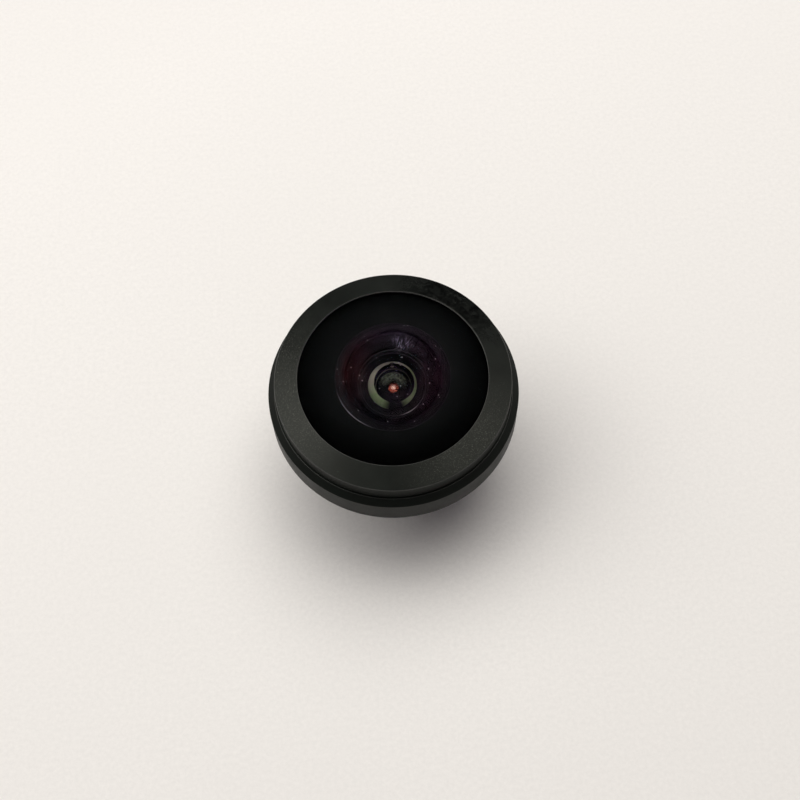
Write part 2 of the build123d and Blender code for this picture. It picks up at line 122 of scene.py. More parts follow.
# Lock ring
LOCK_BORE = 6.03 * MM
LOCK_CORE = 7.4 * MM
WASHER_BORE = 6.15 * MM

# Directions about the axis, in radians from +X, between which a surface differs
# on the ring face: rubbed patches that are partly painted shade, and dust under a painted sheen
RUBBED_AND_SHADED_SIDE = (0.42, 1.36)
DUST_AND_SHEEN_SIDE = (-1.35, -0.30)
# painted reflection streaks in the front bowl
REFLECTION_STREAK_SIDE = (0.85, 1.5)
# ink on the second element's ground zone, painted shade
INKED_SHADE_SIDE = (-1.92, -1.12)
THIN_INK_SHADE_SIDE = (-0.30, 2.3)
# the third element's painted reflection
MOTTLED_SIDE = (0.1, 3.0)
# bare stretches of the glass bevels, painted highlights
BARE_BOWL_HIGHLIGHT = (-2.75, -2.15)
BARE_SECOND_HIGHLIGHT = (-1.25, -1.0)

# The picture is 800 pixels wide, and the opening's centre lies a little up and left of its middle
SENSOR = 36.0
PICTURE = 800.0
AIM_RIGHT, AIM_DOWN = 7.27, 23.9


# Sizes and colours that a user may change


def length(name, description, default):
    return FloatProperty(
        name=name, description=description, default=default, min=0.0, unit="LENGTH", precision=5
    )


def angle(name, description, degrees):
    return FloatProperty(name=name, description=description, default=math.radians(degrees), subtype="ANGLE")


def strength(name, description, default):
    return FloatProperty(name=name, description=description, default=default, min=0.0)


def count(name, description, default, low, high):
    return IntProperty(name=name, description=description, default=default, min=low, max=high)


def colour(name, description, default):
    return FloatVectorProperty(
        name=name, description=description, default=default, min=0.0, max=1.0, size=3, subtype="COLOR"
    )


class HeadSizes(bpy.types.PropertyGroup):
    """Sizes of the head and the front ring."""

    radius: length("Head radius", "Outside radius of the head", barrel.least)
    foot: length("Head foot", "Height of the head's rear face", 9.9999 * MM)
    wall: length("Wall height", "Height of the head's upright wall", 2.78 * MM)
    shoulder: length("Shoulder", "Width and height of the shoulder's 45 degree chamfer", 0.57 * MM)
    collar: length("Collar radius", "Radius of the collar that the ring screws on", 9.5 * MM)
    ring_wall: length("Ring wall", "Height of the front ring's upright wall", 1.55 * MM)
    opening: length("Opening radius", "Radius of the ring's opening", 8.25 * MM)
    edge: length("Edge", "Rounding of the edges outside", 0.04 * MM)
    inner_edge: length("Inner edge", "Rounding of the edges inside", 0.03 * MM)


class GlassSizes(bpy.types.PropertyGroup):
    """Sizes of the front glass and the stop."""

    dome_sphere: length("Dome sphere", "Radius of the front glass's outer surface", 12.0 * MM)
    bowl_sphere: length("Bowl sphere", "Radius of the front glass's bowl", 4.4 * MM)
    bowl_radius: length("Bowl radius", "Radius of the bowl's rim", 4.2 * MM)
    stop_radius: length("Stop radius", "Radius of the fixed pupil", 0.85 * MM)


class ThreadSizes(bpy.types.PropertyGroup):
    """Sizes of the fine thread on the barrel."""

    radius: length("Radius", "Crest radius of the thread", 6.0 * MM)
    pitch: length("Pitch", "Distance between two turns", 0.5 * MM)
    depth: length("Depth", "Depth of the thread", 0.307 * MM)
    crest: length("Crest", "Width of the flat crest", 0.0625 * MM)
    steps: count("Steps", "Divisions in one turn", 96, 24, 256)


class LockRingSizes(bpy.types.PropertyGroup):
    """Sizes of the knurled lock ring."""

    radius: length("Radius", "Outside radius of the lock ring", lock_ring.least)
    chamfer: length("Chamfer", "Chamfer of its edges", 0.3 * MM)
    groove: length("Groove", "Depth of one knurl groove", 0.18 * MM)
    grooves: count("Grooves", "Number of knurl grooves", 48, 12, 160)


class FinishColours(bpy.types.PropertyGroup):
    """Colours of the lens's finishes."""

    anodised: colour("Anodised", "Matte black anodised metal", (0.0026, 0.0040, 0.0031))
    anodised_worn: colour("Worn edge", "Machined edges, where the black is thinner", (0.060, 0.062, 0.060))
    ink: colour("Ink", "Black ink on the ground rims of the glass", (0.0007, 0.0013, 0.0015))
    dome_tint: colour("Dome coating", "Tint of the reflection on the front glass", (0.0022, 0.0042, 0.0052))
    bowl_tint: colour("Bowl coating", "Tint of the reflection in the bowl", (0.020, 0.009, 0.026))
    pupil_tint: colour("Pupil coating", "Tint of the reflection behind the pupil", (0.92, 0.66, 0.56))
    film: colour("Film", "Thin black film", (0.0030, 0.0042, 0.0038))
    rubber: colour("Rubber", "Black seal rubber", (0.012, 0.012, 0.012))
    nylon: colour("Nylon", "Black nylon", (0.020, 0.020, 0.021))
    paper: colour("Paper", "Warm white paper", (0.893, 0.866, 0.826))


class StageSettings(bpy.types.PropertyGroup):
    """Camera and light of the plain stage."""

    focal: FloatProperty(name="Focal length", description="Camera lens", default=63.3, unit="CAMERA")
    distance: length("Distance", "Camera to the lens's opening", 121.0 * MM)
    elevation: angle("Elevation", "Camera above the horizon", 65.0)
    roll: angle("Roll", "Camera roll", 3.0)
    side_window: strength("Side window", "Strength of the soft light from the left", 3.32)
    top_window: strength("Top window", "Strength of the soft light from above", 5.0)
    backdrop: strength("Backdrop", "Strength of the pale backdrop, where 1 is white", 0.75)
    sky: strength("Sky", "Strength of the even light from all round", 0.055)


# Sections turned about the optical axis


def arc_points(start, end, sphere, steps=40):
    """Points of a spherical face between two points of a section. A positive sphere bulges to the front."""
    reach = math.sqrt(max(sphere * sphere - start[0] ** 2, 0.0))
    centre = start[1] - math.copysign(reach, sphere)
    size = abs(sphere)
    first = math.atan2(start[1] - centre, start[0])
    last = math.atan2(end[1] - centre, end[0])
    points = []
    for i in range(steps + 1):
        at = first + (last - first) * i / steps
        points.append((size * math.cos(at), centre + size * math.sin(at)))
    points[0], points[-1] = start, end
    return points


def corner_round(before, corner, after, radius, steps=4):
    """Points of a small rounding, or the corner itself where it is too flat or too sharp."""
    corner = Vector(corner)
    a, b = Vector(before) - corner, Vector(after) - corner
    tiny, flattest, sharpest = 1e-9, math.radians(176), math.radians(4)
    if radius <= 0 or min(a.length, b.length) < tiny or not sharpest <= a.angle(b) <= flattest:
        return [tuple(corner)]
    half = a.angle(b) / 2
    cut = min(radius / math.tan(half), 0.45 * a.length, 0.45 * b.length)
    size = cut * math.tan(half)
    a.normalize()
    b.normalize()
    middle = corner + (a + b).normalized() * size / math.sin(half)
    first, last = corner + a * cut - middle, corner + b * cut - middle
    sweep = first.angle_signed(last)
    return [tuple(middle + Matrix.Rotation(-sweep * i / steps, 2) @ first) for i in range(steps + 1)]


def section_runs(corners):
    """Smooth runs of a closed section, each with its finish."""
    corners = [(*c, *(0.0, "metal", 0.0)[len(c) - 2 :]) for c in corners]
    following = [*corners[1:], corners[0]]
    rounds = [
        corner_round(before[:2], c[:2], after[:2], c[2])
        for before, c, after in zip([corners[-1], *corners], corners, following)
    ]
    runs = []
    for i, (_, _, _, finish, sphere) in enumerate(corners):
        if len(rounds[i]) > 1:
            runs.append((rounds[i], "edge"))
        start, end = rounds[i][-1], rounds[(i + 1) % len(rounds)][0]
        if sphere:
            runs.append((arc_points(start, end, sphere), finish))
        elif max(start[0], end[0]) > 0.0:
            runs.append(([start, end], finish))
    return runs


def new_piece(name, data):
    """A new object in the scene."""
    piece = bpy.data.objects.new(name, data)
    bpy.context.scene.collection.objects.link(piece)
    return piece


def turned_piece(name, corners, finishes, segments=192):
    """A closed mesh turned about the optical axis. A corner is (radius, height, its rounding, then the finish
    and the sphere of the edge that follows), where the last three may be left out."""
    mesh = bpy.data.meshes.new(name)
    piece = new_piece(name, mesh)
    slots = []
    for material in finishes.values():
        if material.name not in slots:
            slots.append(material.name)
            mesh.materials.append(material)
    first_finish = next(iter(finishes.values()))
    bm = bmesh.new()
    rings = {}

    def ring(point):
        radius, height = point
        key = (round(radius, 9), round(height, 9))
        if key not in rings:
            sides = segments if radius > 1e-8 else 1
            turns = (2 * math.pi * i / sides for i in range(sides))
            rings[key] = [bm.verts.new((radius * math.cos(a), radius * math.sin(a), height)) for a in turns]
        return rings[key]

    borders = []
    for points, finish in section_runs(corners):
        slot = slots.index(finishes.get(finish, first_finish).name)
        borders.append(ring(points[0]))
        for start, end in zip(points, points[1:]):
            a, b = ring(start), ring(end)
            if a is b or len(a) == len(b) == 1:
                continue
            for i in range(segments):
                j = (i + 1) % segments
                loop = [a[i % len(a)], a[j % len(a)], b[j % len(b)], b[i % len(b)]]
                face = bm.faces.new([v for k, v in enumerate(loop) if v not in loop[:k]])
                face.smooth = True
                face.material_index = slot
    for border in borders:
        for pair in zip(border, [*border[1:], border[0]]):
            edge = bm.edges.get(pair) if len(border) > 1 else None
            if edge:
                edge.smooth = False
    bmesh.ops.recalc_face_normals(bm, faces=bm.faces)
    bm.to_mesh(mesh)
    bm.free()
    return piece


def flat_ring(inner, outer, foot, top, edge=0.02 * MM):
    """Corners of a plain ring or washer."""
    return [(inner, foot, edge), (outer, foot, edge), (outer, top, edge), (inner, top, edge)]


# Node trees


class Nodes:
    """Short calls that build a tree of nodes."""

    def __init__(self, tree):
        self.tree = tree

    def add(self, kind, **settings):
        node = self.tree.nodes.new(kind)
        for key, value in settings.items():
            setattr(node, key, value)
        return node

    def put(self, socket, value):
        """Links a socket to another one, or gives it a value."""
        if isinstance(value, bpy.types.NodeSocket):
            self.tree.links.new(value, socket)
        elif socket.type == "RGBA" and len(value) == 3:
            socket.default_value = (*value, 1.0)
        else:
            socket.default_value = value

    def fill(self, sockets, *values):
        for socket, value in zip(sockets, values):
            self.put(socket, value)

    def named(self, kind, **values):
        """Adds a node with these values in its sockets, whose names have underscores for spaces."""
        node = self.add(kind)
        for key, value in values.items():
            self.put(node.inputs[key.replace("_", " ")], value)
        return node

    def made(self, kind, *values, **settings):
        """First output of a new node with these values in its sockets, in their order."""
        node = self.add(kind, **settings)
        self.fill(node.inputs, *values)
        return node.outputs[0]

    def calc(self, operation, *values):
        return self.made("ShaderNodeMath", *values, operation=operation)

    def plus(self, a, b):
        return self.calc("ADD", a, b)

    def minus(self, a, b):
        return self.calc("SUBTRACT", a, b)

    def times(self, product, *factors):
        for factor in factors:
            product = self.calc("MULTIPLY", product, factor)
        return product

    def most(self, a, b):
        return self.calc("MAXIMUM", a, b)

    def least(self, a, b):
        return self.calc("MINIMUM", a, b)

    def spread(self, value, low, high, to_low=0.0, to_high=1.0):
        """Maps value between low and high to a new range, held at its ends."""
        return self.made("ShaderNodeMapRange", value, low, high, to_low, to_high)

    def between(self, value, span, soft):
        """1 where value lies in the span, with soft ends."""
        low, high = span
        return self.times(
            self.spread(value, low - soft, low + soft), self.spread(value, high + soft, high - soft)
        )

    def vector(self, x, y, z):
        return self.made("ShaderNodeCombineXYZ", x, y, z)

    def parts(self, vector):
        node = self.add("ShaderNodeSeparateXYZ")
        self.put(node.inputs[0], vector)
        return node.outputs


# Finishes


class Finish(Nodes):
    """A material whose nodes read the piece's own Object coordinates."""

    def __init__(self, name):
        self.material = bpy.data.materials.get(name) or bpy.data.materials.new(name)
        self.material.use_nodes = True
        super().__init__(self.material.node_tree)
        self.tree.nodes.clear()
        self.place = self.add("ShaderNodeTexCoord").outputs["Object"]

    def end(self, shader):
        self.named("ShaderNodeOutputMaterial", Surface=shader)
        return self.material

    def painted(self, **values):
        return self.end(self.named("ShaderNodeBsdfPrincipled", **values).outputs[0])

    def about_axis(self):
        """Radius, height and angle about the optical axis."""
        x, y, z = self.parts(self.place)
        radius = self.calc("SQRT", self.plus(self.times(x, x), self.times(y, y)))
        return radius, z, self.calc("ARCTAN2", y, x)

    def noise(self, scale, detail=2.0, roughness=0.5, place=None, distortion=0.0):
        values = {"Scale": scale, "Detail": detail, "Roughness": roughness, "Distortion": distortion}
        return self.named("ShaderNodeTexNoise", Vector=place or self.place, **values).outputs[0]

    def dots(self, scale, size):
        """Small round dots, size wide in parts of the distance between them."""
        cells = self.named("ShaderNodeTexVoronoi", Vector=self.place, Scale=scale)
        return self.spread(cells.outputs["Distance"], size, size * 0.6)

    def mix(self, share, a, b):
        node = self.add("ShaderNodeMix", data_type="RGBA")
        self.fill((node.inputs[0], node.inputs[6], node.inputs[7]), share, a, b)
        return node.outputs[2]

    def mix_shaders(self, share, a, b):
        return self.made("ShaderNodeMixShader", share, a, b)

    def tinted(self, tone, factor):
        """A colour made darker or paler by one factor."""
        node = self.add("ShaderNodeVectorMath", operation="SCALE")
        self.put(node.inputs[0], tone)
        self.put(node.inputs["Scale"], factor)
        return node.outputs[0]

    def bump(self, height, depth, strength=1.0, under=None):
        node = self.named("ShaderNodeBump", Height=height, Distance=depth, Strength=strength)
        if under is not None:
            self.put(node.inputs["Normal"], under)
        return node.outputs[0]


def colour_of(name):
    return tuple(getattr(bpy.context.scene.lens_colours, name))


def shade(base, factor):
    return tuple(min(c * factor, 1.0) for c in base)


def anodised_finish(name, base, roughness=0.44, specular=0.10, scuffed_and_painted_light=False):
    """Black anodised metal: fine blasted grain over faint turning marks, with paler specks, and where asked,
    wear with painted shade and sheen.
    """
    f = Finish(name)
    radius, height, angle = f.about_axis()
    cloud = f.noise(420.0, 4.0, 0.6)
    marks = 21000.0
    stretched = f.vector(f.times(radius, marks), f.times(height, marks), f.times(angle, 1.3))
    turned = f.noise(1.0, 2.0, 0.5, stretched)
    speck = f.spread(f.noise(5200.0, 1.0), 0.74, 0.80)
    tone = f.mix(f.spread(cloud, 0.30, 0.72), shade(base, 0.72), shade(base, 1.32))
    tone = f.mix(f.times(speck, 0.55), tone, shade(base, 5.5))
    rough = f.spread(cloud, 0.25, 0.75, roughness - 0.05, roughness + 0.07)
    if scuffed_and_painted_light:
        tone, rough = scuffs_and_painted_light(f, base, tone, rough)
    fine = f.bump(f.noise(26000.0, 3.0, 0.6), 0.004 * MM, 0.55)
    return f.painted(
        Base_Color=tone,
        Roughness=rough,
        Specular_IOR_Level=specular,
        Specular_Tint=(1.0, 1.0, 0.90),
        Normal=f.bump(turned, 0.0022 * MM, 0.5, fine),
    )


def scuffs_and_painted_light(f, base, tone, rough):
    """Dark rubbed patches on the far right of the face, partly wear and partly painted shade, and fine pale
    dust on its left and near right, with a faint painted sheen over the near right.
    """
    radius, _, angle = f.about_axis()
    patch = f.noise(1.0, 4.0, 0.66, f.vector(f.times(radius, 1900.0), f.times(angle, 15.0), 3.0), 0.7)
    # rubbed patches darken the face: partly wear, partly painted shade
    rubbed_and_shaded = f.times(f.between(angle, RUBBED_AND_SHADED_SIDE, 0.22), f.spread(patch, 0.42, 0.58, 0.35, 1.0))
    tone = f.mix(rubbed_and_shaded, tone, shade(base, 0.2))
    rough = f.minus(rough, f.times(rubbed_and_shaded, 0.17))
    near = f.between(angle, DUST_AND_SHEEN_SIDE, 0.3)
    left = f.most(f.spread(angle, 2.3, 2.8), f.spread(angle, -2.2, -2.6))
    grains = f.times(f.spread(f.noise(15000.0, 1.0), 0.60, 0.72), f.most(near, left))
    # dust grains, and a faint even painted sheen over the near right
    dust_and_sheen = f.calc("MULTIPLY_ADD", grains, 0.35, f.times(near, 0.05))
    return f.mix(dust_and_sheen, tone, (0.20, 0.20, 0.17)), rough


def metal():
    return anodised_finish("black anodised", colour_of("anodised"))


def worn_and_highlit_edge(name="anodised edge", share=0.5):
    return anodised_finish(name, shade(colour_of("anodised_worn"), share), 0.34, 0.4)


def coated_glass(name, ior, tint, mirrored=0.0, dust_and_reflection=None, inward=(1.0, 1.0, 1.0)):
    """Clear glass under a coating that dims and tints what it mirrors. dust_and_reflection gives the share
    and colour of a diffuse layer, for dust and for painted reflections.
    """
    f = Finish(name)
    bend = f.named("ShaderNodeBsdfRefraction", IOR=ior, Roughness=0.0, Color=(1.0, 1.0, 1.0))
    fresnel = f.named("ShaderNodeFresnel", IOR=ior).outputs[0]
    # where nothing passes the surface, as inside the steep bowls, most of the light is mirrored
    tone = f.mix(f.spread(fresnel, 0.45, 0.95), tint(f) if callable(tint) else tint, inward)
    smears = f.noise(1100.0, 4.0, 0.6, distortion=0.6)
    rough = f.spread(smears, 0.5, 0.8, 0.01, 0.08)
    mirror = f.named("ShaderNodeBsdfAnisotropic", Color=tone, Roughness=rough)
    surface = f.mix_shaders(f.spread(fresnel, 0.0, 1.0, mirrored, 1.0), bend.outputs[0], mirror.outputs[0])
    # a diffuse layer of dust and of painted reflection
    if dust_and_reflection:
        share, tone = dust_and_reflection(f)
        surface = f.mix_shaders(share, surface, f.named("ShaderNodeBsdfDiffuse", Color=tone).outputs[0])
    return f.end(surface)


def dust(f):
    """A few grains of dust on polished glass."""
    return f.times(f.dots(650.0, 0.032), 0.22), (0.75, 0.75, 0.78)


def painted_reflection_tone(f, angle):
    """Colour of the painted reflection in the coating, which changes slowly about the axis. Each stop is
    (degrees, colour).
    """
    wine, slate, rose, violet = (0.42, 0.09, 0.11), (0.15, 0.15, 0.24), (0.46, 0.17, 0.30), (0.26, 0.18, 0.33)
    stops = ((-180, wine), (180, wine), (-120, slate), (-20, rose), (90, violet))
    ramp = f.add("ShaderNodeValToRGB")
    f.put(ramp.inputs[0], f.calc("MULTIPLY_ADD", angle, 0.5 / math.pi, 0.5))
    # the ramp comes with its first two points
    points = ramp.color_ramp.elements
    for i, (degrees, tone) in enumerate(stops):
        at = degrees / 360.0 + 0.5
        point = points[i] if i < 2 else points.new(at)
        point.position, point.color = at, (*tone, 1.0)
    return ramp.outputs[0]


def bowl_reflection_and_dust(f):
    """Faint painted reflection of the coating in the front bowl, violet to wine red, with fine painted
    reflection streaks and dust.
    """
    radius, _, angle = f.about_axis()
    cloud = f.spread(f.noise(900.0, 4.0, 0.65), 0.3, 0.7, 0.03, 0.12)
    share = f.times(
        cloud,
        f.spread(radius, 1.6 * MM, 2.6 * MM, 0.03, 1.0),
        f.spread(radius, 4.2 * MM, 3.6 * MM, 0.35, 1.0),
    )
    # fine streaks, a painted reflection of the light
    marks = f.noise(1.0, 2.0, 0.6, f.vector(f.times(angle, 30.0), f.times(radius, 1500.0), 4.0), 0.3)
    marks = f.times(
        f.spread(marks, 0.50, 0.58),
        f.between(angle, REFLECTION_STREAK_SIDE, 0.2),
        f.between(radius, (1.5 * MM, 2.9 * MM), 0.4 * MM),
    )
    grains = f.dots(1700.0, 0.08)
    tone = f.mix(marks, painted_reflection_tone(f, angle), (0.64, 0.58, 0.80))
    tone = f.mix(grains, tone, (0.95, 0.95, 1.0))
    share = f.calc("MULTIPLY_ADD", marks, 0.34, share)
    return f.most(share, f.times(grains, 0.9)), tone


def rim_with_painted_reflection(f):
    """Ground zone round the second element's bowl, off centre, pale as a painted reflection, with ink over
    its foot and, more thinly, its right side, as painted shade.
    """
    radius, _, angle = f.about_axis()
    # the pale green of the bare zone, warmer at the left and upper right, is a painted reflection
    bare_highlight = f.mix(f.spread(f.noise(2600.0, 3.0, 0.6), 0.3, 0.7), (0.62, 0.84, 0.38), (0.86, 1.0, 0.58))
    from_left = f.calc("ABSOLUTE", f.minus(f.calc("ABSOLUTE", angle), 3.1))
    warm_reflection = f.most(f.spread(from_left, 0.55, 0.0, 0.0, 0.8), f.spread(angle, 0.4, 1.0, 0.0, 0.9))
    bare_highlight = f.mix(warm_reflection, bare_highlight, (0.96, 0.86, 0.70))
    # ink stands for painted shade: full over the foot, thin over the right side
    thin_ink_and_shade = f.times(f.between(angle, THIN_INK_SHADE_SIDE, 0.4), 0.45)
    ink_and_shade = f.most(f.between(angle, INKED_SHADE_SIDE, 0.16), thin_ink_and_shade)
    across, along = f.calc("COSINE", angle), f.calc("SINE", angle)
    end = f.plus(f.calc("MULTIPLY_ADD", across, -0.15 * MM, 2.92 * MM), f.times(along, -0.10 * MM))
    beyond = f.spread(f.minus(radius, end), -0.03 * MM, 0.03 * MM)
    tone = f.mix(f.most(ink_and_shade, beyond), bare_highlight, (0.02, 0.028, 0.024))
    start = f.calc("MULTIPLY_ADD", across, 0.14 * MM, 2.33 * MM)
    return f.spread(f.minus(radius, start), -0.04 * MM, 0.04 * MM, 0.0, 0.97), tone


def third_painted_reflection(f):
    """Mottled painted reflection on the third element."""
    radius, _, angle = f.about_axis()
    cloud = f.spread(f.noise(4200.0, 4.0, 0.7), 0.38, 0.66, 0.04, 0.85)
    share = f.times(f.between(angle, MOTTLED_SIDE, 0.5), cloud, f.spread(radius, 0.5 * MM, 1.3 * MM))
    return share, (0.42, 0.46, 0.34)


def pupil_tone(f):
    """Mirror tint of the coating behind the pupil, pale in the middle as a painted highlight, and red round
    it.
    """
    radius, _, _ = f.about_axis()
    return f.mix(f.spread(radius, 0.18 * MM, 0.48 * MM), colour_of("pupil_tint"), (0.42, 0.07, 0.045))


def ground_edge(name, base, bare_highlight):
    """A narrow ground bevel on glass, thinly inked, apart from a pale bare stretch between two angles, a
    painted highlight.
    """
    f = Finish(name)
    _, _, angle = f.about_axis()
    # the bare stretch is pale, a painted highlight on the bevel
    highlight_part = f.calc("MULTIPLY_ADD", f.between(angle, bare_highlight, 0.2), 0.94, 0.06)
    highlight_part = f.times(highlight_part, f.spread(f.noise(2500.0), 0.3, 0.7, 0.6, 1.0))
    return f.painted(
        Base_Color=f.mix(highlight_part, (0.004, 0.004, 0.005), base),
        Roughness=f.spread(f.noise(3000.0), 0.3, 0.7, 0.4, 0.55),
        Specular_IOR_Level=0.1,
        Normal=f.bump(f.noise(9000.0), 0.003 * MM),
    )


def plain_finish(name, base, roughness, scale, depth, specular):
    """A dull finish with its own fine grain, such as ink, film, nylon or rubber."""
    f = Finish(name)
    cloud = f.noise(scale * 0.08, 3.0, 0.55)
    return f.painted(
        Base_Color=f.mix(cloud, shade(base, 0.7), shade(base, 1.3)),
        Roughness=f.spread(cloud, 0.2, 0.8, roughness - 0.06, roughness + 0.06),
        Specular_IOR_Level=specular,
        Normal=f.bump(f.noise(scale, 3.0, 0.55), depth, 0.6),
    )


def ink():
    return plain_finish("black ink", colour_of("ink"), 0.55, 9000.0, 0.002 * MM, 0.12)


def paper_finish(name, base):
    """Warm white paper with a faint tooth and fibres, paler towards its far left corner and darker towards
    its near right, a painted falloff of the light.
    """
    f = Finish(name)
    tooth = f.noise(2600.0, 3.0, 0.65)
    stretched = f.named("ShaderNodeMapping", Vector=f.place, Scale=(900.0, 2600.0, 1.0))
    fibre = f.noise(1.0, 3.0, 0.6, stretched.outputs[0])
    tone = f.mix(f.spread(f.noise(28.0, 3.0), 0.3, 0.7), shade(base, 0.985), shade(base, 1.012))
    tone = f.mix(f.spread(tooth, 0.3, 0.75), shade(base, 0.93), tone)
    x, y, _ = f.parts(f.place)
    # a painted falloff of the light, paler far left and darker near right
    painted_falloff = f.plus(f.times(x, -1.05), f.times(y, 2.4))
    return f.painted(
        Base_Color=f.mix(f.spread(painted_falloff, -0.13, 0.13), f.tinted(tone, 0.865), f.tinted(tone, 1.04)),
        Roughness=0.85,
        Specular_IOR_Level=0.15,
        Normal=f.bump(tooth, 0.02 * MM, 0.5, f.bump(fibre, 0.02 * MM, 0.35)),
    )


def finish_piece(piece, node, body="lens_body"):
    """Lets a piece ride on its body and stand for its CAD node."""
    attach(piece, body)
    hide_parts(node)


# Geometry node trees


SOCKETS = {float: "NodeSocketFloat", int: "NodeSocketInt", bpy.types.Material: "NodeSocketMaterial"}


class Tree(Nodes):
    """A geometry node tree with a named input for each value."""

    def __init__(self, name, values):
        super().__init__(bpy.data.node_groups.new(name, "GeometryNodeTree"))
        sockets = self.tree.interface
        sockets.new_socket("Geometry", in_out="OUTPUT", socket_type="NodeSocketGeometry")
        for label, value in values.items():
            socket = sockets.new_socket(label, in_out="INPUT", socket_type=SOCKETS[type(value)])
            socket.default_value = value
        self.given = self.add("NodeGroupInput").outputs

    def near(self, a, b, reach=0.3):
        """1 where a and b differ by less than reach."""
        return self.calc("LESS_THAN", self.calc("ABSOLUTE", self.minus(a, b)), reach)

    def pick(self, share, no, yes):
        """no where share is 0 and yes where it is 1."""
        return self.calc("MULTIPLY_ADD", share, self.minus(yes, no), no)

    def bent_grid(self, columns, rows):
        """A grid, with its two parameters from 0 to 1."""
        grid = self.add("GeometryNodeMeshGrid")
        self.fill(grid.inputs, 1.0, 1.0, columns, rows)
        x, y, _ = self.parts(self.add("GeometryNodeInputPosition").outputs[0])
        return grid.outputs["Mesh"], self.plus(x, 0.5), self.plus(y, 0.5)

    def turned(self, mesh, radius, angle, height):
        """Moves the grid's points to places about the axis."""
        x = self.times(radius, self.calc("COSINE", angle))
        y = self.times(radius, self.calc("SINE", angle))
        place = self.vector(x, y, height)
        return self.named("GeometryNodeSetPosition", Geometry=mesh, Position=place).outputs[0]

    def shaded(self, mesh, domain, smooth, chosen=True):
        return self.made("GeometryNodeSetShadeSmooth", mesh, chosen, smooth, domain=domain)

    def finished(self, mesh, sharp):
        """Closes the seams, shades the mesh with creases over sharp degrees, and ends the tree."""
        merged = self.named("GeometryNodeMergeByDistance", Geometry=mesh, Distance=0.0005 * MM).outputs[0]
        bend = self.add("GeometryNodeInputMeshEdgeAngle").outputs[0]
        crease = self.calc("GREATER_THAN", bend, math.radians(sharp))
        mesh = self.shaded(self.shaded(merged, "FACE", True), "EDGE", False, crease)
        real = self.named("GeometryNodeRealizeInstances", Geometry=mesh).outputs[0]
        painted = self.named("GeometryNodeSetMaterial", Geometry=real, Material=self.given["Material"])
        self.named("NodeGroupOutput", Geometry=painted.outputs[0])
        return self.tree


def grown(name, tree, values):
    """A plain mesh made by a geometry node tree with these input values."""
    host = new_piece(name + " host", bpy.data.meshes.new(name + " host"))
    modifier = host.modifiers.new("nodes", "NODES")
    modifier.node_group = tree
    for item in tree.interface.items_tree:
        if item.in_out == "INPUT":
            modifier[item.identifier] = values[item.name]
    bpy.context.view_layer.update()
    ready = host.evaluated_get(bpy.context.evaluated_depsgraph_get())
    mesh = bpy.data.meshes.new_from_object(ready)
    host.modifiers.clear()
    bpy.data.objects.remove(host)
    mesh.name = name
    bm = bmesh.new()
    bm.from_mesh(mesh)
    bmesh.ops.recalc_face_normals(bm, faces=bm.faces)
    bm.to_mesh(mesh)
    bm.free()
    return new_piece(name, mesh)


def thread_tree(values):
    """A helical ridge that starts and ends in the cones at the thread's two ends."""
    t = Tree("helical thread", values)
    g = t.given
    # five rows: the lower root, the two ends of the crest, the upper root, and the lower root again
    mesh, u, v = t.bent_grid(t.times(g["Turns"], g["Steps"]), 5)
    crest = t.near(v, 0.375, 0.2)
    side = t.pick(t.near(v, 0.625, 0.2), -0.5, 0.5)
    not_an_end = t.near(u, 0.5, 0.4995)
    width = t.times(t.pick(crest, g["Root Width"], g["Crest Width"]), not_an_end)
    height = t.plus(t.plus(g["Foot"], t.times(g["Pitch"], g["Turns"], u)), t.times(side, width))
    lead = t.plus(g["Lead Radius"], t.minus(height, g["Lead Foot"]))
    beyond = t.minus(height, g["Run Out Foot"])
    run_out = t.minus(g["Crest Radius"], t.times(beyond, g["Run Out Slope"]))
    limit = t.least(t.least(lead, run_out), t.pick(crest, g["Root Radius"], g["Crest Radius"]))
    radius = t.most(limit, g["Root Radius"])
    turn = t.times(u, g["Turns"], 2 * math.pi)
    return t.finished(t.turned(mesh, radius, turn, height), 25.0)


def knurl_tree(values):
    """The rim of a ring with upright V grooves and chamfered edges."""
    t = Tree("knurled rim", values)
    g = t.given
    # four columns to a groove: its bottom, its far edge, the middle of the tooth, and the next groove's edge
    columns = t.times(g["Count"], 4.0)
    mesh, u, v = t.bent_grid(t.plus(columns, 1.0), 8)
    index = t.calc("ROUND", t.times(u, columns))
    turn = t.calc("DIVIDE", 2 * math.pi, g["Count"])
    groove = t.calc("FLOOR", t.calc("DIVIDE", t.plus(index, 0.01), 4.0))
    column = t.minus(index, t.times(groove, 4.0))
    half = t.calc("DIVIDE", g["Groove"], g["Radius"])
    far_edge = t.times(t.near(column, 1.0), half)
    middle = t.times(t.near(column, 2.0), turn, 0.5)
    next_edge = t.times(t.near(column, 3.0), t.minus(turn, half))
    angle = t.plus(t.times(groove, turn), t.plus(far_edge, t.plus(middle, next_edge)))
    # eight rows: inner foot, foot edge, foot chamfer, the wall's two ends, top chamfer, top edge, inner foot
    row = t.calc("ROUND", t.times(v, 7.0))
    face = t.plus(t.near(row, 1.0), t.near(row, 6.0))
    inner = t.plus(t.near(row, 0.0), t.near(row, 7.0))
    wall_end = t.plus(t.near(row, 3.0), t.near(row, 4.0))
    inset = 0.2 * MM
    depth = t.times(t.near(column, 0.0), g["Groove"])
    rim = t.minus(g["Radius"], depth)
    at_face = t.least(t.minus(g["Radius"], g["Chamfer"]), rim)
    radius = t.pick(inner, t.pick(face, rim, at_face), g["Inner Radius"])
    rise = t.pick(t.plus(face, inner), t.most(t.minus(g["Chamfer"], depth), 0.0), 0.0)
    rise = t.plus(rise, t.times(wall_end, inset))
    from_foot = t.plus(g["Foot"], rise)
    from_top = t.minus(t.plus(g["Foot"], g["Height"]), rise)
    height = t.pick(t.calc("LESS_THAN", row, 3.5), from_top, from_foot)
    height = t.pick(t.near(row, 7.0), height, g["Foot"])
    return t.finished(t.turned(mesh, radius, angle, height), 20.0)


# Operators, one for each piece or group of like pieces


